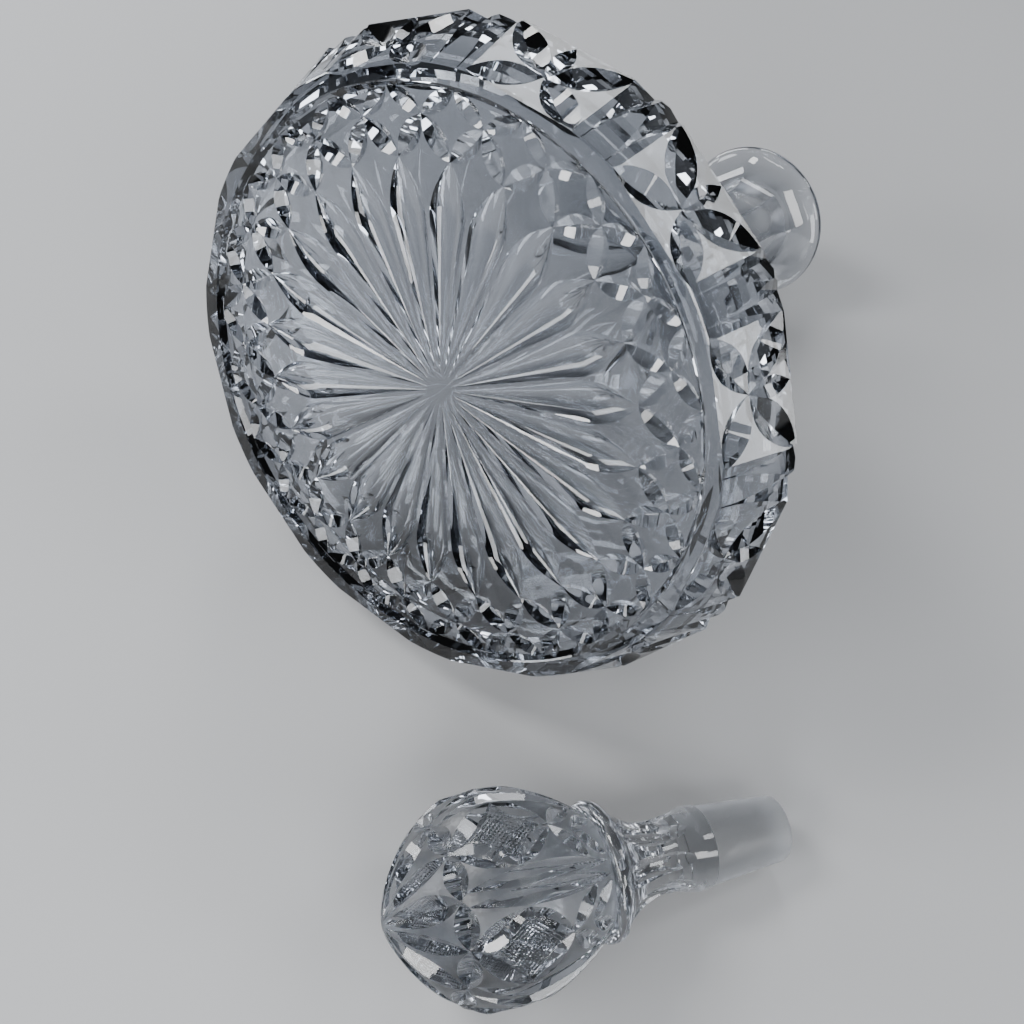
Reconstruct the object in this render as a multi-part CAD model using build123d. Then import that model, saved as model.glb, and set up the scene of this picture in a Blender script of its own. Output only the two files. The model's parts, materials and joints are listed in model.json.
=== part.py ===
"""Cut crystal ship's decanter lying on its side, with its ground stopper taken out and laid beside it.

Each piece is modelled upright about its own axis and then laid on the surface it rests on.
Units are millimetres. +Z is up from that surface and the decanter's neck points along +Y.
"""
import os
from math import atan2, cos, degrees, radians, sin, sqrt, tan

from build123d import *

# Decanter: radii about its axis and heights above the plane of its foot
DECANTER_HEIGHT = 190.0
RIM_RADIUS = 95.0
RIM_HEIGHT = 21.0
SIDE_FLARE = 9.0
FOOT_WIDTH = 5.0
FOOT_RECESS = 1.6
SHOULDER_INSET = 3.0
SHOULDER_HEIGHT = 28.0
NECK_WALL = 4.0
NECK_LENGTH = 34.0
FLARE_HEIGHT = 18.0
LIP_OVERHANG = 11.6
LIP_THICKNESS = 3.0

# Ground joint: the stopper's plug, and the socket that it wedges into
PLUG_LENGTH = 25.0
PLUG_END_RADIUS = 9.4
PLUG_TOP_RADIUS = 11.2
PLUG_BEVEL = 1.0
PLUG_PROUD = 2.0
SOCKET_SPARE = 2.0
THROAT_STEP = 0.1
MOUTH_BEVEL = 1.2

# Hollow of the decanter
FLOOR_THICKNESS = 10.0
SIDE_WALL = 9.5
CAVITY_FLOOR_INSET = 12.0
CAVITY_SHOULDER_HEIGHT = 30.0

# Cuts in the decanter
PANEL_COUNT = 12
PANEL_DEPTH = 1.6
PANEL_TOP_HEIGHT = 54.0
PANEL_TOP_LEAN = 33.0
STAR_HEIGHT = 9.0
STAR_DEPTH = 1.3
STAR_HALF_WIDTH = 1.6
LEAF_WHEEL_RADIUS = 30.0
LEAF_DEPTH = 3.2
LEAF_SPACING = 7.8
PETAL_COUNT = 24
PETAL_START = 4.0
PETAL_TURN = 1.5
PETAL_LAND = 0.7
PETAL_DEPTH = 2.4
LATTICE_WIDTH = 18.4
LATTICE_MARGIN = 1.6
LATTICE_DEPTH = 1.0
LATTICE_HALF_WIDTH = 1.3
LATTICE_NODE_SHARE = 0.62
NECK_FACETS = 8
NECK_FACET_DEPTH = 1.4
FACET_START_INSET = 19.0
FACET_START_HEIGHT = 50.0

# Stopper: radii about its axis and heights above the plug's end
STOPPER_HEIGHT = 117.4
COLLAR_STEP = 0.6
COLLAR_WIDTH = 3.5
WAIST_RADIUS = 10.4
WAIST_HEIGHT = 40.0
BEAD_RADIUS = 19.3
BEAD_RELIEF = 2.3
BEAD_HEIGHT = 56.5
BEAD_HALF_WIDTH = 2.6
BULB_RADIUS = 29.0
BULB_HEIGHT = 88.5
CROWN_RADIUS = 23.5
CROWN_FALL = 13.0

# Cuts in the stopper
BULB_SIDES = 6
DIAMOND_DEPTH = 1.4
DIAMOND_HEIGHT = 88.0
DIAMOND_FOOT_HEIGHT = 76.0
DIAMOND_HALF_ANGLE = 20.0
STOPPER_MITRE_DEPTH = 1.3
STOPPER_MITRE_HALF_WIDTH = 1.7
CROWN_START = 1.5
FLUTE_WHEEL_RADIUS = 130.0
FLUTE_DEPTH = 3.0
FLUTE_HEIGHT = 82.0
FLUTE_SPACING = 4.4
WAIST_FLUTES = 8
WAIST_WHEEL_RADIUS = 18.5
WAIST_WHEEL_EDGE = 4.5
WAIST_DEPTH = 1.5

# Where the stopper lies: its widest section, from the middle of the decanter's foot
STOPPER_ASIDE = 85.0
STOPPER_AHEAD = 80.5
STOPPER_HEADING = 57.5
STOPPER_SPIN = 14.1

# Which way the decanter is turned about its axis: a star panel faces down
DOWNWARD_TURN = 90.0

# Derived sizes of the decanter
FOOT_OUTER_RADIUS = RIM_RADIUS - SIDE_FLARE
FOOT_INNER_RADIUS = FOOT_OUTER_RADIUS - FOOT_WIDTH
SHOULDER_RADIUS = RIM_RADIUS - SHOULDER_INSET
TAPER = (PLUG_TOP_RADIUS - PLUG_END_RADIUS) / PLUG_LENGTH
SOCKET_LENGTH = PLUG_LENGTH + SOCKET_SPARE
MOUTH_RADIUS = PLUG_TOP_RADIUS - TAPER * PLUG_PROUD
SOCKET_END_RADIUS = MOUTH_RADIUS - TAPER * SOCKET_LENGTH
SOCKET_END_HEIGHT = DECANTER_HEIGHT - SOCKET_LENGTH
THROAT_RADIUS = SOCKET_END_RADIUS - THROAT_STEP
NECK_RADIUS = PLUG_TOP_RADIUS + NECK_WALL
NECK_APOTHEM = NECK_RADIUS - NECK_FACET_DEPTH
FLARE_START = DECANTER_HEIGHT - FLARE_HEIGHT
NECK_START = FLARE_START - NECK_LENGTH
LIP_RADIUS = NECK_RADIUS + LIP_OVERHANG
LIP_EDGE = LIP_RADIUS - LIP_THICKNESS / 2
LIP_UNDERSIDE = DECANTER_HEIGHT - LIP_THICKNESS
CAVITY_RADIUS = RIM_RADIUS - SIDE_WALL
CAVITY_FLOOR_RADIUS = FOOT_OUTER_RADIUS - CAVITY_FLOOR_INSET
PANEL_RIM = RIM_RADIUS - PANEL_DEPTH
PANEL_FOOT = FOOT_OUTER_RADIUS - PANEL_DEPTH
PETAL_END = FOOT_INNER_RADIUS - LATTICE_WIDTH
LATTICE_END = FOOT_INNER_RADIUS - LATTICE_MARGIN

# Derived sizes of the stopper
COLLAR_RADIUS = PLUG_TOP_RADIUS + COLLAR_STEP
COLLAR_HEIGHT = PLUG_LENGTH + COLLAR_WIDTH
BEAD_ROOT_RADIUS = BEAD_RADIUS - BEAD_RELIEF
CROWN_HEIGHT = STOPPER_HEIGHT - CROWN_FALL

# How far the cutting tools stand out above a surface, and how far they reach past a piece
ABOVE = 1.0
BEYOND = 40.0


def ring(count, start=0.0):
    """Evenly spaced angles around a full turn, in degrees."""
    return [start + 360.0 * index / count for index in range(count)]


def around(tool, count, start=0.0):
    """Copies of a cutting tool at equal turns about the piece's axis."""
    return [Rot(0, 0, angle) * tool for angle in ring(count, start)]


def polar(radius, angle, height):
    """The point at a radius, an angle in degrees and a height."""
    return Vector(radius * cos(radians(angle)), radius * sin(radians(angle)), height)


def turned_solid(outline):
    """The solid made by turning a closed outline of radius and height about the axis."""
    return revolve(Plane.XZ * make_face(outline), Axis.Z)


def mitre(start, end, outward, depth, half_width):
    """A straight V groove from start to end, its sharp bottom sunk by depth below that line."""
    run = (end - start).normalized()
    section_plane = Plane(origin=start, x_dir=outward.cross(run), z_dir=run)
    spread = half_width * (depth + ABOVE) / depth
    section = Polyline((0, -depth), (spread, ABOVE), (-spread, ABOVE), close=True)
    return extrude(section_plane * make_face(section), (end - start).length)


def v_wheel(radius, half_thickness):
    """A grinding wheel with a sharp 90 degree edge, its axle along Y."""
    flank = radius - half_thickness
    section = Polyline((0, -half_thickness), (flank, -half_thickness), (radius, 0),
                       (flank, half_thickness), (0, half_thickness), close=True)
    return revolve(Plane.XY * make_face(section), Axis.Y)


def foot_outline():
    """The foot and the side: recess, foot ring and flared side up to the shoulder."""
    return Polyline((0, FOOT_RECESS), (FOOT_INNER_RADIUS - FOOT_RECESS, FOOT_RECESS), (FOOT_INNER_RADIUS, 0),
                    (FOOT_OUTER_RADIUS, 0), (RIM_RADIUS, RIM_HEIGHT), (SHOULDER_RADIUS, SHOULDER_HEIGHT))


def shoulder_outline():
    """The shoulder, sweeping in and up to the neck, and then the neck, its flare and its lip."""
    shoulder = Bezier((SHOULDER_RADIUS, SHOULDER_HEIGHT), (0.82 * SHOULDER_RADIUS, 2 * SHOULDER_HEIGHT),
                      (NECK_RADIUS, 2.1 * SHOULDER_HEIGHT), (NECK_RADIUS, NECK_START))
    neck = Line((NECK_RADIUS, NECK_START), (NECK_RADIUS, FLARE_START))
    flare = TangentArc((NECK_RADIUS, FLARE_START), (LIP_EDGE, LIP_UNDERSIDE), tangent=(0, 1))
    lip = ThreePointArc((LIP_EDGE, LIP_UNDERSIDE), (LIP_RADIUS, DECANTER_HEIGHT - LIP_THICKNESS / 2),
                        (LIP_EDGE, DECANTER_HEIGHT))
    return [shoulder, neck, flare, lip]


def hollow_outline():
    """The hollow, from the mouth down: ground socket, throat, shoulder and bowl."""
    mouth = Polyline((LIP_EDGE, DECANTER_HEIGHT), (MOUTH_RADIUS + MOUTH_BEVEL, DECANTER_HEIGHT),
                     (MOUTH_RADIUS, DECANTER_HEIGHT - MOUTH_BEVEL), (SOCKET_END_RADIUS, SOCKET_END_HEIGHT),
                     (THROAT_RADIUS, SOCKET_END_HEIGHT), (THROAT_RADIUS, NECK_START))
    under_shoulder = Bezier((THROAT_RADIUS, NECK_START), (THROAT_RADIUS, 1.95 * CAVITY_SHOULDER_HEIGHT),
                            (0.8 * CAVITY_RADIUS, 1.75 * CAVITY_SHOULDER_HEIGHT),
                            (CAVITY_RADIUS, CAVITY_SHOULDER_HEIGHT))
    bowl = TangentArc((CAVITY_FLOOR_RADIUS, FLOOR_THICKNESS), (CAVITY_RADIUS, CAVITY_SHOULDER_HEIGHT),
                      tangent=(1, 0))
    floor = Polyline((CAVITY_FLOOR_RADIUS, FLOOR_THICKNESS), (0, FLOOR_THICKNESS), (0, FOOT_RECESS))
    return [mouth, under_shoulder, bowl, floor]


def star_panel():
    """The cutter for one star panel: a flat lower face and a flat upper one that meet at the rim."""
    lean = (PANEL_RIM - PANEL_FOOT) / RIM_HEIGHT
    top = PANEL_RIM - (PANEL_TOP_HEIGHT - RIM_HEIGHT) * tan(radians(PANEL_TOP_LEAN))
    outline = Polyline((PANEL_FOOT - lean * ABOVE, -ABOVE), (PANEL_RIM, RIM_HEIGHT), (top, PANEL_TOP_HEIGHT),
                       (PANEL_RIM + BEYOND, PANEL_TOP_HEIGHT), (PANEL_RIM + BEYOND, -ABOVE), close=True)
    return extrude(Plane.XZ * make_face(outline), BEYOND / 2, both=True)


def star_mitres():
    """The grooves of one panel's star: from its middle to the corners and up to the rim."""
    half_width = sqrt(RIM_RADIUS ** 2 - PANEL_RIM ** 2)
    outward = Vector(RIM_HEIGHT, 0, PANEL_FOOT - PANEL_RIM).normalized()

    def on_panel(across, height):
        return Vector(PANEL_FOOT + (PANEL_RIM - PANEL_FOOT) * height / RIM_HEIGHT, across, height)

    ends = [on_panel(across, height) for across in (-half_width, half_width) for height in (0, RIM_HEIGHT)]
    ends.append(on_panel(0, RIM_HEIGHT))
    return [mitre(on_panel(0, STAR_HEIGHT), end, outward, STAR_DEPTH, STAR_HALF_WIDTH) for end in ends]


def side_leaf():
    """The wheel that cuts one leaf groove up the side between two star panels."""
    slope = atan2(SIDE_FLARE, RIM_HEIGHT)
    reach = LEAF_WHEEL_RADIUS - LEAF_DEPTH
    middle_radius = RIM_RADIUS - SIDE_FLARE / 2
    wheel = v_wheel(LEAF_WHEEL_RADIUS, 2 * LEAF_DEPTH)
    return Pos(middle_radius + reach * cos(slope), 0, RIM_HEIGHT / 2 - reach * sin(slope)) * wheel


def petal():
    """The cutter for one petal of the foot: a shallow scoop, pointed inside and round outside."""
    half_turn = sin(radians(180 / PETAL_COUNT))
    half_width = (PETAL_END * half_turn - PETAL_LAND / 2) / (1 + half_turn)
    scoop_radius = (half_width ** 2 + PETAL_DEPTH ** 2) / (2 * PETAL_DEPTH)
    drop = scoop_radius - PETAL_DEPTH
    length = PETAL_END - half_width - PETAL_START
    axis_length = sqrt(length ** 2 + drop ** 2)
    outline = [Line((0, 0), (axis_length, scoop_radius)),
               RadiusArc((axis_length, scoop_radius), (axis_length + scoop_radius, 0), scoop_radius),
               Line((axis_length + scoop_radius, 0), (0, 0))]
    scoop = revolve(Plane.XZ * make_face(outline), Axis.X)
    return Pos(PETAL_START, 0, FOOT_RECESS) * Rot(0, degrees(atan2(drop, length)), 0) * scoop


def lattice_mitres():
    """The grooves from one petal's tip to the nodes beside it, and on to the ring of the foot."""
    half_step = 180.0 / PETAL_COUNT
    node_radius = PETAL_END + LATTICE_NODE_SHARE * (LATTICE_END - PETAL_END)
    tip = polar(PETAL_END + LATTICE_HALF_WIDTH, 0, FOOT_RECESS)
    outer = polar(LATTICE_END, 0, FOOT_RECESS)
    nodes = [polar(node_radius, angle, FOOT_RECESS) for angle in (-half_step, half_step)]
    lines = [(start, node) for start in (tip, outer) for node in nodes]
    return [mitre(start, node, Vector(0, 0, -1), LATTICE_DEPTH, LATTICE_HALF_WIDTH) for start, node in lines]


def neck_facet():
    """The cutter for one flat of the neck, which runs down the shoulder and out under the lip."""
    start_radius = RIM_RADIUS - FACET_START_INSET
    shoulder = Bezier((start_radius, FACET_START_HEIGHT), (0.7 * start_radius, 1.3 * FACET_START_HEIGHT),
                      (NECK_APOTHEM, 1.4 * FACET_START_HEIGHT), (NECK_APOTHEM, NECK_START))
    neck = Line((NECK_APOTHEM, NECK_START), (NECK_APOTHEM, FLARE_START))
    flare = TangentArc((NECK_APOTHEM, FLARE_START), (LIP_EDGE, LIP_UNDERSIDE), tangent=(0, 1))
    outside = Polyline((LIP_EDGE, LIP_UNDERSIDE), (RIM_RADIUS, LIP_UNDERSIDE),
                       (RIM_RADIUS, FACET_START_HEIGHT), (start_radius, FACET_START_HEIGHT))
    return extrude(Plane.XZ * make_face([shoulder, neck, flare, outside]), BEYOND / 2, both=True)


def make_decanter():
    """The decanter, upright on its foot, with a star panel facing +X."""
    blank = turned_solid([foot_outline(), *shoulder_outline(), *hollow_outline()])
    between_panels = 180.0 / PANEL_COUNT
    leaf_offset = degrees(LEAF_SPACING / 2 / RIM_RADIUS)
    cuts = around(star_panel(), PANEL_COUNT)
    for groove in star_mitres():
        cuts += around(groove, PANEL_COUNT)
    for offset in (-leaf_offset, leaf_offset):
        cuts += around(side_leaf(), PANEL_COUNT, between_panels + offset)
    cuts += around(petal(), PETAL_COUNT, PETAL_TURN)
    for groove in lattice_mitres():
        cuts += around(groove, PETAL_COUNT, PETAL_TURN)
    cuts += around(neck_facet(), NECK_FACETS)
    return blank.cut(*cuts)


def stopper_blank():
    """The stopper before it is cut: plug, collar, waist, bead and bulb, standing on the plug."""
    bead_start = (BEAD_ROOT_RADIUS, BEAD_HEIGHT - BEAD_HALF_WIDTH)
    bead_end = (BEAD_ROOT_RADIUS, BEAD_HEIGHT + BEAD_HALF_WIDTH)
    widest = (BULB_RADIUS, BULB_HEIGHT)
    point = (0, STOPPER_HEIGHT)
    plug = Polyline((0, 0), (PLUG_END_RADIUS - PLUG_BEVEL, 0), (PLUG_END_RADIUS, PLUG_BEVEL),
                    (PLUG_TOP_RADIUS, PLUG_LENGTH), (COLLAR_RADIUS, PLUG_LENGTH),
                    (COLLAR_RADIUS, COLLAR_HEIGHT))
    waist = Bezier((COLLAR_RADIUS, COLLAR_HEIGHT), (0.8 * WAIST_RADIUS, WAIST_HEIGHT),
                   (WAIST_RADIUS, 1.15 * WAIST_HEIGHT), bead_start)
    bead = ThreePointArc(bead_start, (BEAD_RADIUS, BEAD_HEIGHT), bead_end)
    bulb = Bezier(bead_end, (0.8 * BULB_RADIUS, 0.76 * BULB_HEIGHT),
                  (BULB_RADIUS, 0.87 * BULB_HEIGHT), widest)
    crown = Bezier(widest, (BULB_RADIUS, 1.13 * BULB_HEIGHT),
                   (BULB_RADIUS / 2, 0.975 * STOPPER_HEIGHT), point)
    return turned_solid([plug, waist, bead, bulb, crown, Line(point, (0, 0))])


def diamond_flat():
    """The cutter for one flat diamond on the widest part of the bulb."""
    flat = Box(BEYOND, BEYOND, BEYOND, align=(Align.MIN, Align.CENTER, Align.CENTER))
    return Pos(BULB_RADIUS - DIAMOND_DEPTH, 0, DIAMOND_HEIGHT) * flat


def bulb_flute():
    """The wheel that cuts one long leaf up the bulb, one of a pair between two diamonds."""
    wheel = v_wheel(FLUTE_WHEEL_RADIUS, 2 * FLUTE_DEPTH)
    return Pos(BULB_RADIUS + FLUTE_WHEEL_RADIUS - FLUTE_DEPTH, 0, FLUTE_HEIGHT) * wheel


def bulb_mitre(start, end):
    """A groove between two points on the bulb, each given as a radius, an angle and a height."""
    start, end = polar(*start), polar(*end)
    middle = (start + end) / 2 - Vector(0, 0, BULB_HEIGHT)
    run = (end - start).normalized()
    outward = (middle - run * middle.dot(run)).normalized()
    return mitre(start, end, outward, STOPPER_MITRE_DEPTH, STOPPER_MITRE_HALF_WIDTH)


def bulb_mitres():
    """The grooves of one sixth of the bulb: the crown's star, and the lines around a diamond."""
    half_step = 180.0 / BULB_SIDES
    near_point = STOPPER_HEIGHT - CROWN_FALL * CROWN_START / CROWN_RADIUS
    top = (CROWN_RADIUS, 0, CROWN_HEIGHT)
    foot = (BULB_RADIUS - DIAMOND_DEPTH, 0, DIAMOND_FOOT_HEIGHT)
    grooves = [bulb_mitre((CROWN_START, angle, near_point), (CROWN_RADIUS, angle, CROWN_HEIGHT))
               for angle in (0, half_step)]
    for side in (-1, 1):
        corner = (BULB_RADIUS, side * DIAMOND_HALF_ANGLE, DIAMOND_HEIGHT)
        grooves.append(bulb_mitre(top, (CROWN_RADIUS, side * half_step, CROWN_HEIGHT)))
        grooves.append(bulb_mitre(top, corner))
        grooves.append(bulb_mitre(corner, foot))
    return grooves


def waist_flute():
    """The round-edged wheel that cuts one flute of the waist."""
    wheel = Torus(WAIST_WHEEL_RADIUS - WAIST_WHEEL_EDGE, WAIST_WHEEL_EDGE)
    reach = WAIST_RADIUS + WAIST_WHEEL_RADIUS - WAIST_DEPTH
    return Pos(reach, 0, WAIST_HEIGHT) * Rot(90, 0, 0) * wheel


def make_stopper():
    """The stopper, upright on the end of its plug, with a diamond facing +X."""
    half_step = 180.0 / BULB_SIDES
    flute_offset = degrees(FLUTE_SPACING / 2 / BULB_RADIUS)
    cuts = around(diamond_flat(), BULB_SIDES)
    for offset in (-flute_offset, flute_offset):
        cuts += around(bulb_flute(), BULB_SIDES, half_step + offset)
    for groove in bulb_mitres():
        cuts += around(groove, BULB_SIDES)
    cuts += around(waist_flute(), WAIST_FLUTES)
    return stopper_blank().cut(*cuts)


def lay_decanter(decanter):
    """Lay the decanter on the rim of a star panel and on its lip, its neck along +Y."""
    lean = degrees(atan2(PANEL_RIM - LIP_RADIUS, DECANTER_HEIGHT - RIM_HEIGHT))
    lying = Rot(-90 - lean, 0, 0) * Rot(0, 0, DOWNWARD_TURN) * decanter
    return Pos(0, 0, -lying.bounding_box().min.Z) * lying


def lay_stopper(stopper):
    """Lay the stopper on its bulb and the end of its plug, beside the decanter's foot."""
    lean = degrees(atan2(BULB_RADIUS - PLUG_END_RADIUS, BULB_HEIGHT))
    point_back = Rot(0, 90 + lean, 0) * Rot(180, 0, 0) * Pos(0, 0, -BULB_HEIGHT)
    lying = Rot(0, 0, STOPPER_HEADING) * point_back * Rot(0, 0, STOPPER_SPIN) * stopper
    return Pos(STOPPER_ASIDE, -STOPPER_AHEAD, -lying.bounding_box().min.Z) * lying


def main():
    decanter = lay_decanter(make_decanter())
    stopper = lay_stopper(make_stopper())
    box = Compound([decanter, stopper]).bounding_box()
    to_origin = Pos(-(box.min.X + box.max.X) / 2, -(box.min.Y + box.max.Y) / 2, -box.min.Z)
    os.makedirs("parts", exist_ok=True)
    export_step(to_origin * decanter, "parts/decanter.step")
    export_step(to_origin * stopper, "parts/stopper.step")


if __name__ == "__main__":
    main()
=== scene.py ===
"""Visual model of a cut crystal ship's decanter lying on its side, with its stopper beside it.

Both pieces are built upright about their own axes, in millimetres, and are then placed in metres by the
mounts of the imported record. Cuts are boolean differences, so every facet and groove is real geometry.
"""

import json
import math

import bmesh
import bpy
from mathutils import Matrix, Vector


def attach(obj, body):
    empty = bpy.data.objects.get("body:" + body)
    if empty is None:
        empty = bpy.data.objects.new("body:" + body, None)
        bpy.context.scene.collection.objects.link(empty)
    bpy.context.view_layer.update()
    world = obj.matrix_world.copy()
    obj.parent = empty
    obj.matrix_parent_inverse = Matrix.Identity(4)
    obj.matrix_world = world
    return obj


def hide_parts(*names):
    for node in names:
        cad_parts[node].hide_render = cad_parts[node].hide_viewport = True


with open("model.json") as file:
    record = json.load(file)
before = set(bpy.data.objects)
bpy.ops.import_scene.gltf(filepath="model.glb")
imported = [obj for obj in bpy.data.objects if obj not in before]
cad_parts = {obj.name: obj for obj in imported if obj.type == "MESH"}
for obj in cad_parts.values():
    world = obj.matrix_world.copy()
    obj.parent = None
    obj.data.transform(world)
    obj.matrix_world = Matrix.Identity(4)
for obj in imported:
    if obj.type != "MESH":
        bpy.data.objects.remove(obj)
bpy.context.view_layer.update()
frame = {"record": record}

MM = 0.001
TURN = 2 * math.pi
LATHE_STEPS = 360

# Edges flatter than this shade smooth, and points nearer than this, in millimetres, become one
SMOOTH_BELOW = math.radians(9)
MERGE_BELOW = 0.004

# How far a cutter stands out of the surface that it cuts
PROUD = 0.3
HATCH_PROUD = 0.05

# Finishes of a piece's faces. The glass material reads the last two as masks
FINISHES = ("polished", "ground", "stippled")
POLISHED, GROUND, STIPPLED = range(3)

# Decanter
HEIGHT = 190.0
RIM_RADIUS, RIM_HEIGHT = 95.0, 21.0
FOOT_OUTER, FOOT_INNER, FOOT_RECESS = 86.0, 81.0, 1.6
SHOULDER_RADIUS, SHOULDER_HEIGHT = 92.0, 28.0
NECK_RADIUS, NECK_START, FLARE_START = 15.2, 138.0, 172.0
LIP_RADIUS, LIP_THICKNESS = 26.8, 3.0
MOUTH_RADIUS, MOUTH_BEVEL = 11.056, 1.2
SOCKET_END, SOCKET_END_RADIUS, THROAT_RADIUS = 163.0, 9.112, 9.012
CAVITY_RADIUS, CAVITY_FLOOR_RADIUS, CAVITY_SHOULDER, FLOOR_THICKNESS = 85.5, 74.0, 30.0, 10.0
THROAT_MIDDLE = (NECK_START + SOCKET_END) / 2

PANELS = 12
PANEL_FOOT, PANEL_RIM, PANEL_TOP, PANEL_TOP_HEIGHT = 84.4, 93.4, 71.97, 54.0
STAR_HEIGHT, STAR_MARGIN = 9.0, 0.4
STAR_FOOT_REACH, STAR_RIM_REACH = 16.5, 17.5
SHOULDER_REACH = 14.5
NECK_SIDES = 8
NECK_APOTHEM = 13.8
FACET_START_RADIUS, FACET_START_HEIGHT = 76.0, 50.0

PETALS = 24
PETAL_TURN = 1.5
PETAL_START, PETAL_WIDEST, PETAL_END = 4.0, 47.0, 62.5
PETAL_LAND, PETAL_DEPTH = 0.9, 2.7
NODE_RADIUS, LATTICE_END = 73.0, 79.8

# The keel of the paired cuts between star panels, as radius and height, and how far apart the two are
KEEL_FOOT, KEEL_RIM, KEEL_TOP = (85.2, -0.8), (90.3, 19.5), (88.4, 36.5)
KEEL_SPACING = 8.0

# Stopper
PLUG_LENGTH, PLUG_END_RADIUS, PLUG_TOP_RADIUS, PLUG_ROUND = 25.0, 9.4, 11.2, 1.0
COLLAR_RADIUS, COLLAR_HEIGHT = 11.8, 28.5
WAIST_RADIUS, WAIST_HEIGHT = 10.4, 40.0
BEAD_RADIUS, BEAD_ROOT, BEAD_HEIGHT, BEAD_HALF = 19.3, 17.0, 56.5, 2.6
BULB_RADIUS, BULB_HEIGHT, STOPPER_HEIGHT = 29.0, 88.5, 117.4
STOPPER_SPIN = math.radians(14.1)
BULB_SIDES = 6
DIAMOND_APOTHEM = 27.6
WAIST_FLUTES = 8

# Places on the bulb, as heights or as pairs of an angle from a flat's middle and a height
CROWN_NODE, CROWN_POINT = 102.5, 116.9
BETWEEN_FLATS = 30
DIAMOND_CORNER, DIAMOND_FOOT = (20, 88), 75.5
HATCH_CORNER, HATCH_TOP, HATCH_FOOT = (17, 88), 99.5, 77.5
HATCH_LINES = 14
PAIR_TOP, PAIR_FOOT = (4.3, 101.5), (5.4, 60)

# Wheel cuts, each as its depth and half its width
TIP_CUT, OUTER_CUT = (2.3, 3.0), (1.9, 2.4)
STAR_CUT, SHORT_CUT = (3.0, 4.2), (2.0, 2.8)
POINT_CUT, WIDE_POINT_CUT, RING_CUT = (2.2, 2.5), (3.4, 4.0), (3.0, 3.5)
DIAMOND_TOP_CUT, DIAMOND_FOOT_CUT = (2.9, 3.4), (2.0, 2.4)
FAN_TOP_CUT, FAN_FOOT_CUT = (2.0, 2.5), (1.6, 2.1)
PAIR_CUT, HATCH_CUT = (3.2, 2.7), (0.3, 0.4)

# Camera, its place from the middle of the foot in metres and its angles in degrees
LENS = 49.2
CAMERA_OFFSET = (0.1553, -0.1746, 0.2951)
CAMERA_AZIMUTH, CAMERA_ELEVATION, CAMERA_ROLL = 36.23, 56.46, 3.09

# The part of a noise pattern's range that the materials spread over their own
NOISE_LOW, NOISE_HIGH = 0.3, 0.7


# Numbers and outlines

def spread(first, last, steps):
    """Evenly spaced numbers from first to last, both included."""
    return [first + (last - first) * index / steps for index in range(steps + 1)]


def spread_points(start, end, steps):
    """Points along a straight line in an outline."""
    return [Vector(start).lerp(Vector(end), t) for t in spread(0, 1, steps)]


def bezier(a, b, c, d, steps=40):
    """Points along a cubic curve between a and d."""
    corners = [Vector(point) for point in (a, b, c, d)]
    points = []
    for t in spread(0, 1, steps):
        weights = ((1 - t) ** 3, 3 * t * (1 - t) ** 2, 3 * t * t * (1 - t), t ** 3)
        points.append(sum((w * p for w, p in zip(weights, corners)), Vector((0, 0))))
    return points


def arc(start, end, centre, steps=12):
    """Points along the shorter arc between start and end about a centre."""
    first, last = Vector(start) - Vector(centre), Vector(end) - Vector(centre)
    turn = first.angle_signed(last)
    return [Vector(centre) + Matrix.Rotation(-turn * t, 2) @ first for t in spread(0, 1, steps)]


def tangent_arc(start, end, steps=16):
    """Points along the arc that leaves start straight up and reaches end."""
    run, rise = end[0] - start[0], end[1] - start[1]
    radius = (run * run + rise * rise) / (2 * run)
    return arc(start, end, (start[0] + radius, start[1]), steps)


def polar(radius, angle, height):
    """The point at a radius, an angle in degrees and a height."""
    turn = math.radians(angle)
    return Vector((radius * math.cos(turn), radius * math.sin(turn), height))


# Meshes

def lathe(runs, steps=LATHE_STEPS, start=0.0):
    """Turn a closed outline, given as (points, finish) runs, into points, faces and their finishes."""
    outline, tags = [], []
    for points, finish in runs:
        for point in points:
            if not outline or (Vector(point) - outline[-1]).length > 1e-4:
                outline.append(Vector(point))
                tags.append(finish)
    points, rings = [], []
    for radius, height in outline:
        if radius < 1e-6:
            rings.append([len(points)] * steps)
            points.append(Vector((0, 0, height)))
        else:
            rings.append(range(len(points), len(points) + steps))
            angles = [math.degrees(TURN * k / steps) + start for k in range(steps)]
            points += [polar(radius, angle, height) for angle in angles]
    faces, finishes = [], []
    for index, ring in enumerate(rings):
        other = rings[index - 1]
        for k in range(steps):
            corners = [ring[k], ring[(k + 1) % steps], other[(k + 1) % steps], other[k]]
            face = list(dict.fromkeys(corners))
            if len(face) > 2:
                faces.append(face)
                finishes.append(tags[index])
    return points, faces, finishes


def polygon_solid(outline, sides):
    """A solid with flat sides whose middles follow the outline, one of them facing +X."""
    widen = 1 / math.cos(math.pi / sides)
    outline = [(radius * widen, height) for radius, height in outline]
    points, faces, _ = lathe([(outline, POLISHED)], sides, 180 / sides)
    return points, faces


def loft(sections):
    """Join closed sections of equal length, a first and last one of one point each making a tip."""
    points, faces = [], []
    starts = []
    for section in sections:
        starts.append(len(points))
        points += section
    for index in range(len(sections) - 1):
        here, there = sections[index], sections[index + 1]
        sides = max(len(here), len(there))
        for k in range(sides):
            corners = [starts[index] + k % len(here), starts[index] + (k + 1) % len(here),
                       starts[index + 1] + (k + 1) % len(there), starts[index + 1] + k % len(there)]
            faces.append(list(dict.fromkeys(corners)))
    for index in (0, -1):
        if len(sections[index]) > 2:
            faces.append([starts[index] + k for k in range(len(sections[index]))])
    return points, faces


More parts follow.
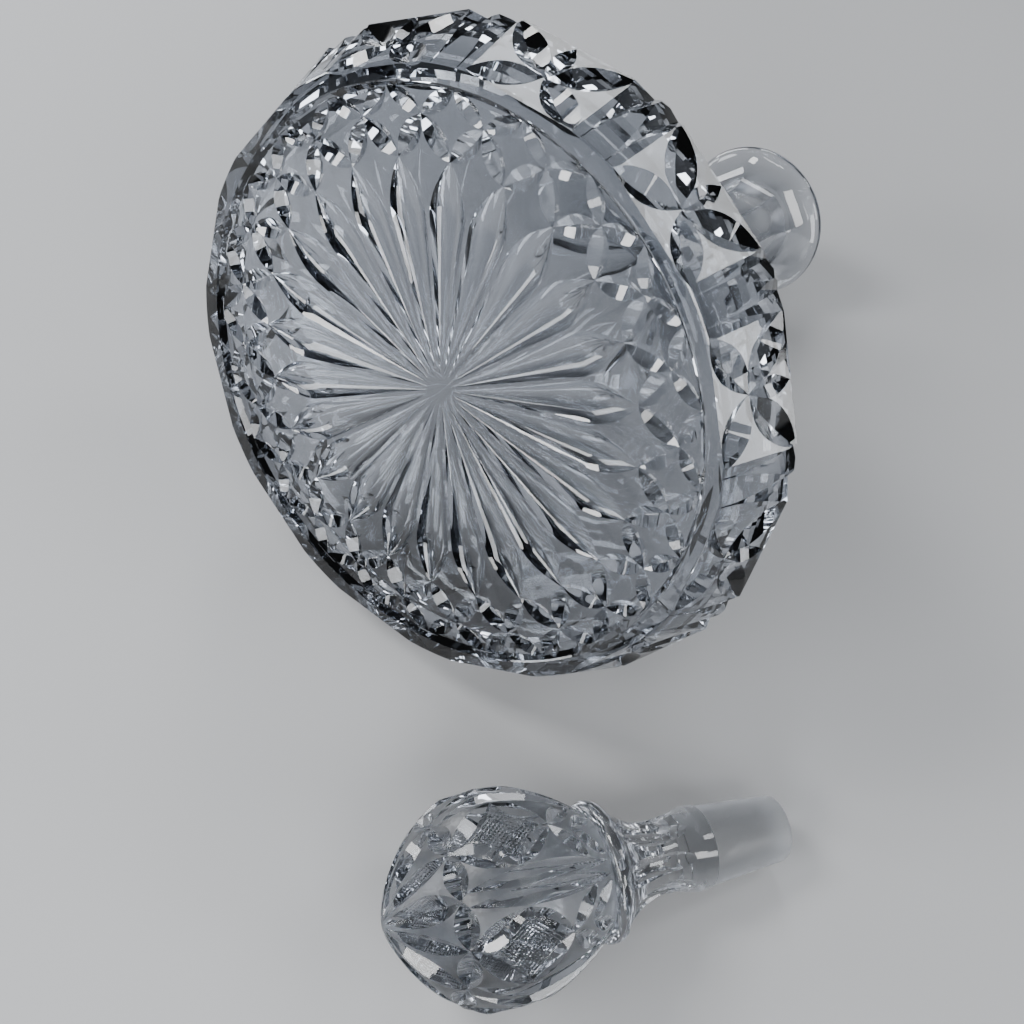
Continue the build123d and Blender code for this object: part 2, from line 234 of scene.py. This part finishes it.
def around(cutter, count, start=0.0):
    """Copies of a cutter at equal turns about the axis, as one set of points and faces."""
    points, faces = cutter
    all_points, all_faces = [], []
    for index in range(count):
        turn = Matrix.Rotation(math.radians(start) + TURN * index / count, 3, "Z")
        offset = len(all_points)
        all_points += [turn @ point for point in points]
        all_faces += [[corner + offset for corner in face] for face in faces]
    return all_points, all_faces


def gather(cutters):
    """Several cutters that stand clear of each other, as one."""
    points, faces = [], []
    for more_points, more_faces in cutters:
        offset = len(points)
        points += more_points
        faces += [[corner + offset for corner in face] for face in more_faces]
    return points, faces


def make_object(name, points, faces, finishes=None):
    """A mesh object with its faces turned outward, and all polished if no finishes are given."""
    mesh = bpy.data.meshes.new(name)
    mesh.from_pydata(points, [], faces)
    if finishes:
        mesh.polygons.foreach_set("material_index", finishes)
    shaped = bmesh.new()
    shaped.from_mesh(mesh)
    bmesh.ops.recalc_face_normals(shaped, faces=shaped.faces)
    shaped.to_mesh(mesh)
    shaped.free()
    piece = bpy.data.objects.new(name, mesh)
    bpy.context.scene.collection.objects.link(piece)
    return piece


def cut(piece, cutters, operation="DIFFERENCE"):
    """Apply each cutter to the piece in turn. The new faces are polished."""
    for points, faces in cutters:
        tool = make_object("tool", points, faces)
        tool.data.materials.append(piece.data.materials[POLISHED])
        modifier = piece.modifiers.new("cut", "BOOLEAN")
        modifier.operation = operation
        modifier.solver = "MANIFOLD"
        modifier.material_mode = "TRANSFER"
        modifier.object = tool
        evaluated = piece.evaluated_get(bpy.context.evaluated_depsgraph_get())
        result = bpy.data.meshes.new_from_object(evaluated)
        piece.modifiers.clear()
        piece.data = result
        bpy.data.objects.remove(tool)


def drop_chips(shaped):
    """Delete the chips that crossing cuts leave: all but the largest part joined by clean edges."""
    waiting = set(shaped.faces)
    parts = []
    while waiting:
        part, reached = set(), [waiting.pop()]
        while reached:
            face = reached.pop()
            part.add(face)
            clean_edges = [edge for edge in face.edges if len(edge.link_faces) == 2]
            beside = {other for edge in clean_edges for other in edge.link_faces} & waiting
            waiting -= beside
            reached += beside
        parts.append(part)
    body = max(parts, key=len)
    chips = [face for face in shaped.faces if face not in body]
    bmesh.ops.delete(shaped, geom=chips, context="FACES")


def finish_piece(piece, place, glass):
    """Put the piece in its place, in metres, shade it between its crisp edges and give it its glass."""
    piece.data.transform(place @ Matrix.Scale(MM, 4))
    mesh = piece.data
    shaped = bmesh.new()
    shaped.from_mesh(mesh)
    bmesh.ops.remove_doubles(shaped, verts=shaped.verts, dist=MERGE_BELOW * MM)
    bmesh.ops.dissolve_degenerate(shaped, edges=shaped.edges, dist=MERGE_BELOW * MM)
    drop_chips(shaped)
    shaped.to_mesh(mesh)
    shaped.free()
    mesh.shade_smooth()
    mesh.set_sharp_from_angle(angle=SMOOTH_BELOW)
    weighting = piece.modifiers.new("flat facets", "WEIGHTED_NORMAL")
    weighting.keep_sharp = True
    finishes = [face.material_index for face in mesh.polygons]
    for finish in (GROUND, STIPPLED):
        shares = mesh.attributes.new(FINISHES[finish], "FLOAT", "FACE")
        shares.data.foreach_set("value", [float(found == finish) for found in finishes])
    mesh.materials.clear()
    mesh.materials.append(glass)
    mesh.polygons.foreach_set("material_index", [0] * len(mesh.polygons))


# Cutters

def leaf(run, depth, half_width, steps=16, proud=PROUD):
    """A V-shaped wheel cut, pointed at both ends. run(t) gives a surface point and its outward."""
    reach = math.sqrt(1 + proud / depth)
    sections = []
    for t in spread(-reach, reach, steps):
        centre, outward = run((1 + t) / 2)
        ahead, _ = run((1 + t) / 2 + 0.01)
        side = outward.cross(ahead - centre).normalized()
        sink = depth * (1 - t * t)
        deck = centre + outward * proud
        across = side * ((proud + sink) * half_width / depth)
        sections.append([centre - outward * sink, deck + across, deck - across])
    sections[0] = [sections[0][0]]
    sections[-1] = [sections[-1][0]]
    return loft(sections)


def straight(start, end, outward):
    """A straight run over a flat surface."""
    return lambda t: (start + (end - start) * t, outward)


def petal_half_width(radius):
    """Half the width of a petal: it widens evenly from the middle and closes in a pointed arch."""
    swell, sharpness = 0.35, 1.6
    half_step = math.pi / PETALS
    widest = PETAL_WIDEST * math.sin(half_step) - PETAL_LAND / 2
    if radius < PETAL_WIDEST:
        return radius * math.sin(half_step) - PETAL_LAND / 2
    share = (radius - PETAL_WIDEST) / (PETAL_END - PETAL_WIDEST)
    return widest * (1 + swell * share) * (1 - share ** sharpness)


def petal():
    """The cutter for one petal of the foot, a smooth hollow with a crisp leaf-shaped edge."""
    widest = petal_half_width(PETAL_WIDEST)
    thinnest = 0.02
    edge_height, roundness = FOOT_RECESS - 0.02, 2.4
    sections = []
    for radius in spread(PETAL_START, PETAL_WIDEST, 14)[:-1] + spread(PETAL_WIDEST, PETAL_END, 18):
        half_width = max(petal_half_width(radius), thinnest)
        depth = PETAL_DEPTH * half_width / widest
        floor = [Vector((radius, half_width * s, edge_height + depth * (1 - abs(s) ** roundness)))
                 for s in spread(-1, 1, 18)]
        below = [Vector((radius, half_width * s, FOOT_RECESS - 1)) for s in (1, -1)]
        sections.append(floor + below)
    return loft(sections)


def lattice_leaves():
    """The wheel cuts from a petal's tip to the two nodes beside it, and from the rim ring to them."""
    half_step = 180 / PETALS
    down = Vector((0, 0, -1))
    tip = polar(PETAL_END - 0.3, 0, FOOT_RECESS)
    outer = polar(LATTICE_END, 0, FOOT_RECESS)
    leaves = []
    for side in (-1, 1):
        node = polar(NODE_RADIUS, side * half_step, FOOT_RECESS)
        leaves.append(leaf(straight(tip, node, down), *TIP_CUT))
        leaves.append(leaf(straight(outer, node, down), *OUTER_CUT))
    return leaves


def panel_point(across, height):
    """A point on the lower face of the star panel that faces +X."""
    return Vector((PANEL_FOOT + (PANEL_RIM - PANEL_FOOT) * height / RIM_HEIGHT, across, height))


def star_leaves():
    """The wheel cuts of one star: to the foot's corners, to the rim's corners and to its middle."""
    outward = Vector((RIM_HEIGHT, 0, PANEL_FOOT - PANEL_RIM)).normalized()
    middle = panel_point(0, STAR_HEIGHT)
    corners = [panel_point(side * STAR_FOOT_REACH, STAR_MARGIN) for side in (-1, 1)]
    corners += [panel_point(side * STAR_RIM_REACH, RIM_HEIGHT - STAR_MARGIN) for side in (-1, 1)]
    leaves = [leaf(straight(middle, corner, outward), *STAR_CUT) for corner in corners]
    leaves.append(leaf(straight(middle, panel_point(0, RIM_HEIGHT - 0.3), outward), *SHORT_CUT))
    return leaves


def side_leaves():
    """The two V grooves side by side between star panels, from the foot's edge over the rim."""
    foot, rim, top = [Vector((radius, 0, height)) for radius, height in (KEEL_FOOT, KEEL_RIM, KEEL_TOP)]
    rim_share = (rim - foot).dot(top - foot) / (top - foot).length_squared
    bow = (rim - foot - (top - foot) * rim_share) / (4 * rim_share * (1 - rim_share))
    outward = bow.normalized()
    reach, overrun = 8.0, 0.15
    wings = [Vector((0, side * reach, 0)) + outward * reach for side in (1, -1)]
    leaves = []
    for across in (-KEEL_SPACING / 2, KEEL_SPACING / 2):
        sections = []
        for t in spread(-overrun, 1 + overrun, 24):
            keel = foot + (top - foot) * t + bow * (4 * t * (1 - t)) + Vector((0, across, 0))
            sections.append([keel, keel + wings[0], keel + wings[1]])
        leaves.append(loft(sections))
    return leaves


def shoulder_leaves():
    """The wheel cuts above a star panel, from the middle of its rim up towards the shoulder."""
    start = Vector((PANEL_RIM, 0, RIM_HEIGHT))
    slope = Vector((PANEL_TOP - PANEL_RIM, 0, PANEL_TOP_HEIGHT - RIM_HEIGHT))
    outward = Vector((slope.z, 0, -slope.x)).normalized()
    ends = [start + slope / 2 + Vector((0, side * SHOULDER_REACH, 0)) for side in (-1, 1)]
    return [leaf(straight(start, end, outward), *SHORT_CUT) for end in ends]


# Decanter

def decanter_runs():
    """The decanter's outline: outside from the foot to the lip, then the hollow back down."""
    lip_edge, lip_under = LIP_RADIUS - LIP_THICKNESS / 2, HEIGHT - LIP_THICKNESS
    foot = [(0, FOOT_RECESS), (FOOT_INNER - FOOT_RECESS, FOOT_RECESS), (FOOT_INNER - 0.25, 0.25),
            (FOOT_INNER + 0.25, 0), (FOOT_OUTER - 0.4, 0), (FOOT_OUTER, 0.4), (RIM_RADIUS, RIM_HEIGHT),
            (SHOULDER_RADIUS, SHOULDER_HEIGHT)]
    shoulder = bezier((SHOULDER_RADIUS, SHOULDER_HEIGHT), (0.82 * SHOULDER_RADIUS, 2 * SHOULDER_HEIGHT),
                      (NECK_RADIUS, 2.1 * SHOULDER_HEIGHT), (NECK_RADIUS, NECK_START), 60)
    neck = spread_points((NECK_RADIUS, NECK_START), (NECK_RADIUS, FLARE_START), 6)
    flare = tangent_arc((NECK_RADIUS, FLARE_START), (lip_edge, lip_under))
    lip = [Vector((lip_edge, HEIGHT - LIP_THICKNESS / 2)) + polar(LIP_THICKNESS / 2, angle, 0).xy
           for angle in spread(-90, 90, 10)]
    mouth = [(MOUTH_RADIUS + MOUTH_BEVEL, HEIGHT), (MOUTH_RADIUS, HEIGHT - MOUTH_BEVEL)]
    socket = spread_points((MOUTH_RADIUS, HEIGHT - MOUTH_BEVEL), (SOCKET_END_RADIUS, SOCKET_END), 8)
    throat = [(THROAT_RADIUS, SOCKET_END), (THROAT_RADIUS, NECK_START)]
    under = bezier((THROAT_RADIUS, NECK_START), (THROAT_RADIUS, 1.95 * CAVITY_SHOULDER),
                   (0.8 * CAVITY_RADIUS, 1.75 * CAVITY_SHOULDER), (CAVITY_RADIUS, CAVITY_SHOULDER), 60)
    rise, run = CAVITY_SHOULDER - FLOOR_THICKNESS, CAVITY_RADIUS - CAVITY_FLOOR_RADIUS
    bowl_radius = (rise * rise + run * run) / (2 * rise)
    bowl = arc((CAVITY_RADIUS, CAVITY_SHOULDER), (CAVITY_FLOOR_RADIUS, FLOOR_THICKNESS),
               (CAVITY_FLOOR_RADIUS, FLOOR_THICKNESS + bowl_radius))
    floor = [(0, FLOOR_THICKNESS)]
    return [(foot + shoulder + neck + flare + lip + mouth, POLISHED), (socket, GROUND),
            (throat + under + bowl + floor, POLISHED)]


def faceted_side():
    """The twelve-sided solid that leaves the star panels when the decanter is kept inside it."""
    lean = (PANEL_RIM - PANEL_FOOT) / RIM_HEIGHT
    beyond = 2 * RIM_RADIUS
    outline = [(0, -2), (PANEL_FOOT - 2 * lean, -2), (PANEL_RIM, RIM_HEIGHT), (PANEL_TOP, PANEL_TOP_HEIGHT),
               (beyond, PANEL_TOP_HEIGHT), (beyond, HEIGHT + 5), (0, HEIGHT + 5)]
    return polygon_solid(outline, PANELS)


def faceted_neck():
    """The eight-sided solid that leaves the neck's flats when the decanter is kept inside it."""
    lip_edge, lip_under = LIP_RADIUS - LIP_THICKNESS / 2, HEIGHT - LIP_THICKNESS
    shoulder = bezier((FACET_START_RADIUS, FACET_START_HEIGHT), (0.7 * FACET_START_RADIUS, 65),
                      (NECK_APOTHEM, 70), (NECK_APOTHEM, NECK_START), 60)
    flare = tangent_arc((NECK_APOTHEM, FLARE_START), (lip_edge, lip_under))
    beyond = 2 * RIM_RADIUS
    outline = [(0, -5), (beyond, -5), (beyond, FACET_START_HEIGHT)]
    outline += shoulder + flare
    outline += [(beyond, lip_under), (beyond, HEIGHT + 5), (0, HEIGHT + 5)]
    return polygon_solid(outline, NECK_SIDES)


def turned(name, runs):
    """A turned piece, with a placeholder material for each finish while it is cut."""
    piece = make_object(name, *lathe(runs))
    for finish in FINISHES:
        piece.data.materials.append(bpy.data.materials.get(finish) or bpy.data.materials.new(finish))
    return piece


def make_decanter(place, glass):
    """The decanter: its turned body, cut as a glass cutter would."""
    piece = turned("decanter_body", decanter_runs())
    cut(piece, [faceted_side(), faceted_neck()], "INTERSECT")
    between = 180 / PANELS
    cut(piece, [around(groove, PANELS) for groove in star_leaves()])
    cut(piece, [around(groove, PANELS) for groove in shoulder_leaves()])
    cut(piece, [around(groove, PANELS, between) for groove in side_leaves()])
    cut(piece, [around(petal(), PETALS, PETAL_TURN)])
    cut(piece, [around(groove, PETALS, PETAL_TURN) for groove in lattice_leaves()])
    finish_piece(piece, place, glass)
    return piece


# Stopper

def stopper_runs():
    """The stopper's outline, from the end of its plug to its point."""
    bead_start, bead_end = (BEAD_ROOT, BEAD_HEIGHT - BEAD_HALF), (BEAD_ROOT, BEAD_HEIGHT + BEAD_HALF)
    plug = [Vector((PLUG_END_RADIUS - PLUG_ROUND, PLUG_ROUND)) + polar(PLUG_ROUND, angle, 0).xy
            for angle in spread(-90, 0, 8)]
    plug.insert(0, Vector((0, 0)))
    plug += spread_points((PLUG_END_RADIUS, PLUG_ROUND), (PLUG_TOP_RADIUS, PLUG_LENGTH), 8)
    collar = [(COLLAR_RADIUS - 0.3, PLUG_LENGTH + 0.1), (COLLAR_RADIUS, PLUG_LENGTH + 0.5),
              (COLLAR_RADIUS, COLLAR_HEIGHT)]
    waist = bezier((COLLAR_RADIUS, COLLAR_HEIGHT), (0.8 * WAIST_RADIUS, WAIST_HEIGHT),
                   (WAIST_RADIUS, 1.15 * WAIST_HEIGHT), bead_start)
    half_chord, sagitta = BEAD_HALF, BEAD_RADIUS - BEAD_ROOT
    bead_round = (half_chord ** 2 + sagitta ** 2) / (2 * sagitta)
    bead_centre, bead_crest = (BEAD_RADIUS - bead_round, BEAD_HEIGHT), (BEAD_RADIUS, BEAD_HEIGHT)
    bead = arc(bead_start, bead_crest, bead_centre) + arc(bead_crest, bead_end, bead_centre)
    return [(plug, GROUND), (collar + waist + bead, POLISHED), (bulb_outline(), STIPPLED)]


def bulb_outline():
    """The bulb, from the bead over its widest part to the point."""
    widest = (BULB_RADIUS, BULB_HEIGHT)
    bulb = bezier((BEAD_ROOT, BEAD_HEIGHT + BEAD_HALF), (0.8 * BULB_RADIUS, 0.76 * BULB_HEIGHT),
                  (BULB_RADIUS, 0.87 * BULB_HEIGHT), widest, 60)
    crown = bezier(widest, (BULB_RADIUS, 1.13 * BULB_HEIGHT), (BULB_RADIUS / 2, 0.975 * STOPPER_HEIGHT),
                   (0, STOPPER_HEIGHT), 60)
    return bulb + crown[1:]


BULB = bulb_outline()


def bulb_radius(angle, height):
    """The bulb's radius at a height, with its six flats."""
    height = min(max(height, BULB[0].y), BULB[-1].y)
    for low, high in zip(BULB, BULB[1:]):
        if low.y <= height <= high.y:
            share = (height - low.y) / max(high.y - low.y, 1e-9)
            radius = low.x + (high.x - low.x) * share
            break
    step = 360 / BULB_SIDES
    off_flat = (angle + step / 2) % step - step / 2
    return min(radius, DIAMOND_APOTHEM / math.cos(math.radians(off_flat)))


def bulb_outward(angle, height):
    """The direction straight out of the bulb at an angle and height."""
    rise = 0.5
    below, above = bulb_radius(angle, height - rise), bulb_radius(angle, height + rise)
    return (polar(2 * rise, angle, 0) + Vector((0, 0, below - above))).normalized()


def between(a, b, t):
    """The place on the bulb part of the way from one place to another."""
    return a[0] + (b[0] - a[0]) * t, a[1] + (b[1] - a[1]) * t


def over_bulb(start, end):
    """A run over the bulb between two places, each an angle and a height."""
    def at(t):
        angle, height = between(start, end, t)
        return polar(bulb_radius(angle, height), angle, height), bulb_outward(angle, height)
    return at


def crown_leaves():
    """The wheel cuts of the crown: from the point to the twelve nodes, and from node to node."""
    cuts = [leaf(over_bulb((angle, CROWN_POINT), (angle, CROWN_NODE)), *profile)
            for angle, profile in ((0, POINT_CUT), (BETWEEN_FLATS, WIDE_POINT_CUT))]
    for side in (-1, 1):
        run = over_bulb((0, CROWN_NODE), (side * BETWEEN_FLATS, CROWN_NODE))
        cuts.append(leaf(run, *RING_CUT))
    return cuts


def diamond_leaves():
    """The wheel cuts along the four sides of a diamond, on the flat that faces +X."""
    cuts = []
    for side in (-1, 1):
        corner = (side * DIAMOND_CORNER[0], DIAMOND_CORNER[1])
        cuts.append(leaf(over_bulb((0, CROWN_NODE - 0.3), corner), *DIAMOND_TOP_CUT))
        cuts.append(leaf(over_bulb(corner, (0, DIAMOND_FOOT)), *DIAMOND_FOOT_CUT))
    return cuts


def fan_leaves():
    """The short wheel cuts that fan out between a diamond's foot and the bead."""
    cuts = []
    for side in (-1, 1):
        cuts.append(leaf(over_bulb((0, 76), (side * 21, 66)), *FAN_TOP_CUT))
        cuts.append(leaf(over_bulb((side * 19, 60), (0, 69)), *FAN_FOOT_CUT))
    return cuts


def pair_leaves():
    """The two long wheel cuts side by side between diamonds."""
    cuts = []
    for side in (-1, 1):
        top, foot = [(BETWEEN_FLATS + side * off, height) for off, height in (PAIR_TOP, PAIR_FOOT)]
        cuts.append(leaf(over_bulb(top, foot), *PAIR_CUT, steps=26))
    return cuts


def hatching():
    """The two sets of fine crossing grooves on the diamond that faces +X."""
    top, foot = (0, HATCH_TOP), (0, HATCH_FOOT)
    right = HATCH_CORNER
    left = (-right[0], right[1])
    margin = 0.04
    sets = []
    for first, last in ((left, right), (right, left)):
        grooves = []
        for share in spread(margin, 1 - margin, HATCH_LINES - 1):
            run = over_bulb(between(top, first, share), between(last, foot, share))
            grooves.append(leaf(run, *HATCH_CUT, steps=12, proud=HATCH_PROUD))
        sets.append(grooves)
    return sets


def waist_flute():
    """The round-edged wheel that hollows one flute of the waist."""
    wheel, edge, depth = 18.5, 4.5, 1.5
    rim = [Vector((wheel - edge, 0)) + polar(edge, angle, 0).xy for angle in spread(0, 360, 32)[:-1]]
    points, faces, _ = lathe([(rim, POLISHED)], 96)
    beside = Matrix.Translation((WAIST_RADIUS + wheel - depth, 0, WAIST_HEIGHT))
    upright = Matrix.Rotation(TURN / 4, 4, "X")
    return [beside @ upright @ point for point in points], faces


def faceted_bulb():
    """The six-sided solid that leaves the flats of the diamonds when the stopper is kept inside it."""
    beyond, start, end = 50, 62, 125
    outline = [(0, -5), (beyond, -5), (beyond, start)]
    outline += [(DIAMOND_APOTHEM, start), (DIAMOND_APOTHEM, end), (0, end)]
    return polygon_solid(outline, BULB_SIDES)


def make_stopper(place, glass):
    """The stopper: turned, then cut with flats, long leaves, stars and fine hatching."""
    piece = turned("stopper_body", stopper_runs())
    cut(piece, [faceted_bulb()], "INTERSECT")
    for cutters in (pair_leaves(), diamond_leaves(), crown_leaves(), fan_leaves()):
        cut(piece, [around(groove, BULB_SIDES) for groove in cutters])
    for grooves in hatching():
        cut(piece, [around(gather(grooves), BULB_SIDES)])
    every_other, step = WAIST_FLUTES // 2, 360 / WAIST_FLUTES
    cut(piece, [around(waist_flute(), every_other), around(waist_flute(), every_other, step)])
    finish_piece(piece, place, glass)
    return piece


# Places

def axes(origin, along, spin=0.0):
    """The place of a piece whose axis runs one way and whose +X, before its spin, is turned down."""
    along = Vector(along).normalized()
    down = Vector((0, 0, -1))
    down = (down - along * down.dot(along)).normalized()
    turn = Matrix((down, along.cross(down), along)).transposed().to_4x4()
    return Matrix.Translation(origin) @ turn @ Matrix.Rotation(spin, 4, "Z")


# Materials

def new_material(name):
    """A node material with its nodes, its links and its Principled shader."""
    material = bpy.data.materials.new(name)
    material.use_nodes = True
    nodes, links = material.node_tree.nodes, material.node_tree.links
    return material, nodes, links, nodes["Principled BSDF"]


def noise(nodes, links, scale, detail=0.0):
    """A noise pattern fixed to the piece, its scale in cycles per metre."""
    coords = nodes.new("ShaderNodeTexCoord")
    pattern = nodes.new("ShaderNodeTexNoise")
    pattern.inputs["Scale"].default_value = scale
    pattern.inputs["Detail"].default_value = detail
    links.new(coords.outputs["Object"], pattern.inputs["Vector"])
    return pattern.outputs["Fac"]


def ramp(nodes, links, factor, low, high):
    """Colours from low to high over the middle of a noise pattern's range."""
    blend = nodes.new("ShaderNodeValToRGB")
    blend.color_ramp.elements[0].position = NOISE_LOW
    blend.color_ramp.elements[1].position = NOISE_HIGH
    blend.color_ramp.elements[0].color = (*low, 1)
    blend.color_ramp.elements[1].color = (*high, 1)
    links.new(factor, blend.inputs["Fac"])
    return blend.outputs["Color"]


def graded(nodes, links, factor, low, high):
    """A number from low to high over the middle of a noise pattern's range."""
    stage = nodes.new("ShaderNodeMapRange")
    stage.inputs["From Min"].default_value = NOISE_LOW
    stage.inputs["From Max"].default_value = NOISE_HIGH
    stage.inputs["To Min"].default_value = low
    stage.inputs["To Max"].default_value = high
    links.new(factor, stage.inputs["Value"])
    return stage.outputs["Result"]


def bump(nodes, links, height, strength, distance, normal=None):
    """A bump of a height pattern, on top of another normal if one is given."""
    node = nodes.new("ShaderNodeBump")
    node.inputs["Strength"].default_value = strength
    node.inputs["Distance"].default_value = distance
    links.new(height, node.inputs["Height"])
    if normal:
        links.new(normal, node.inputs["Normal"])
    return node.outputs["Normal"]


def absorb(nodes, links, colour, density):
    """Let thick glass darken what is seen through it."""
    volume = nodes.new("ShaderNodeVolumeAbsorption")
    volume.inputs["Color"].default_value = (*colour, 1)
    volume.inputs["Density"].default_value = density
    links.new(volume.outputs["Volume"], nodes["Material Output"].inputs["Volume"])


def mask(nodes, finish):
    """1 on the faces of a finish and 0 elsewhere."""
    attribute = nodes.new("ShaderNodeAttribute")
    attribute.attribute_name = FINISHES[finish]
    return attribute.outputs["Fac"]


def arithmetic(nodes, links, operation, first, second):
    """The sum, product or other operation of two numbers."""
    node = nodes.new("ShaderNodeMath")
    node.operation = operation
    links.new(first, node.inputs[0])
    links.new(second, node.inputs[1])
    return node.outputs["Value"]


def crystal(name, tint, density):
    """Lead crystal: rippled where polished, frosted where ground, pebbled where left as pressed."""
    material, nodes, links, shader = new_material(name)
    shader.inputs["Transmission Weight"].default_value = 1.0
    shader.inputs["IOR"].default_value = 1.58
    paler = [min(1, channel * 1.06) for channel in tint]
    links.new(ramp(nodes, links, noise(nodes, links, 60), tint, paler), shader.inputs["Base Color"])
    ground, stippled = mask(nodes, GROUND), mask(nodes, STIPPLED)
    wear = noise(nodes, links, 300, 1.0)
    roughness = graded(nodes, links, wear, 0.0, 0.03)
    for low, high, where in ((0.42, 0.58, ground), (0.3, 0.45, stippled)):
        share = arithmetic(nodes, links, "MULTIPLY", graded(nodes, links, wear, low, high), where)
        roughness = arithmetic(nodes, links, "ADD", roughness, share)
    links.new(roughness, shader.inputs["Roughness"])
    normal = bump(nodes, links, noise(nodes, links, 110), 0.25, 0.0003)
    for scale, distance, where in ((2500, 0.00008, ground), (1300, 0.0002, stippled)):
        grain = arithmetic(nodes, links, "MULTIPLY", noise(nodes, links, scale), where)
        normal = bump(nodes, links, grain, 0.35, distance, normal)
    links.new(normal, shader.inputs["Normal"])
    absorb(nodes, links, (0.3, 0.33, 0.38), density)
    return material


def plain_floor():
    """The pale floor under the object."""
    material, nodes, links, shader = new_material("floor_paint")
    clouds = noise(nodes, links, 1.5, 3.0)
    pale = ramp(nodes, links, clouds, (0.35, 0.354, 0.362), (0.37, 0.374, 0.382))
    links.new(pale, shader.inputs["Base Color"])
    shader.inputs["Roughness"].default_value = 0.9
    mesh = bpy.data.meshes.new("floor")
    reach = 4.0
    corners = [(-reach, -reach, 0), (reach, -reach, 0), (reach, reach, 0), (-reach, reach, 0)]
    mesh.from_pydata(corners, [], [(0, 1, 2, 3)])
    floor = bpy.data.objects.new("floor", mesh)
    floor.data.materials.append(material)
    floor.location.z = -0.0002
    bpy.context.scene.collection.objects.link(floor)


# Camera and lights

def add_camera(foot_centre):
    """The photograph's view: above the foot, looking down, with its small roll."""
    data = bpy.data.cameras.new("camera")
    data.lens = LENS
    data.clip_start = 0.01
    camera = bpy.data.objects.new("camera", data)
    place = Matrix.Translation(foot_centre + Vector(CAMERA_OFFSET))
    heading = Matrix.Rotation(math.radians(CAMERA_AZIMUTH), 4, "Z")
    tilt = Matrix.Rotation(math.radians(90 - CAMERA_ELEVATION), 4, "X")
    roll = Matrix.Rotation(math.radians(CAMERA_ROLL), 4, "Z")
    camera.matrix_world = place @ heading @ tilt @ roll
    bpy.context.scene.collection.objects.link(camera)
    bpy.context.scene.camera = camera


def add_light(name, place, size, power, colour=(1, 1, 1)):
    """A soft box that points at the middle of the object and isn't seen itself."""
    data = bpy.data.lights.new(name, "AREA")
    data.shape = "RECTANGLE"
    data.size, data.size_y = size
    data.energy = power
    data.color = colour
    light = bpy.data.objects.new(name, data)
    light.location = place
    aim = Vector((0, 0, 0.05)) - Vector(place)
    light.rotation_euler = aim.to_track_quat("-Z", "Y").to_euler()
    light.visible_camera = False
    bpy.context.scene.collection.objects.link(light)


def add_strips():
    """Upright soft boxes all round, so that facets catch light and dark in turn.

    The two high ones stand where the star panels mirror them to the camera.
    """
    distance, size, colour = 0.95, (0.28, 0.6), (0.95, 0.97, 1)
    headings = (10, 52, 127, 170, 222, 300)
    heights = (0.3, 1.2, 1.0, 0.4, 0.3, 0.4)
    powers = (5, 4.5, 4.5, 6, 5, 5)
    for index, (heading, height, power) in enumerate(zip(headings, heights, powers)):
        add_light(f"strip_{index}", polar(distance, heading, height), size, power, colour)


def add_world():
    """The studio's dim surroundings."""
    world = bpy.data.worlds.new("studio")
    world.use_nodes = True
    background = world.node_tree.nodes["Background"]
    background.inputs["Color"].default_value = (0.36, 0.38, 0.41, 1)
    background.inputs["Strength"].default_value = 0.22
    bpy.context.scene.world = world


def trace_light():
    """Let light pass through many facets, without caustics."""
    settings = bpy.context.scene.cycles
    settings.max_bounces = 16
    settings.transmission_bounces = 16
    settings.glossy_bounces = 8
    settings.caustics_refractive = False
    settings.caustics_reflective = False


# Scene

mounts = {mount["name"]: mount for mount in frame["record"]["mounts"]}
throat, plug_end = mounts["throat"], mounts["stopper_plug"]
neck_axis = Vector(throat["axis"]).normalized()
foot_centre = Vector(throat["pos_m"]) - neck_axis * THROAT_MIDDLE * MM
decanter_place = axes(foot_centre, neck_axis)
stopper_place = axes(Vector(plug_end["pos_m"]), -Vector(plug_end["axis"]), STOPPER_SPIN)

add_camera(foot_centre)
add_world()
add_light("key", (-0.7, -0.3, 1.0), (0.3, 0.4), 8)
add_light("fill", (0.75, -0.45, 0.9), (0.5, 0.35), 6)
add_light("front", (-0.15, -0.85, 0.75), (0.6, 0.25), 6)
add_strips()
plain_floor()
trace_light()

decanter = make_decanter(decanter_place, crystal("crystal", (0.88, 0.9, 0.93), 66))
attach(decanter, "decanter")
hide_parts("decanter")

stopper = make_stopper(stopper_place, crystal("crystal_stopper", (0.94, 0.95, 0.97), 26))
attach(stopper, "stopper")
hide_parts("stopper")
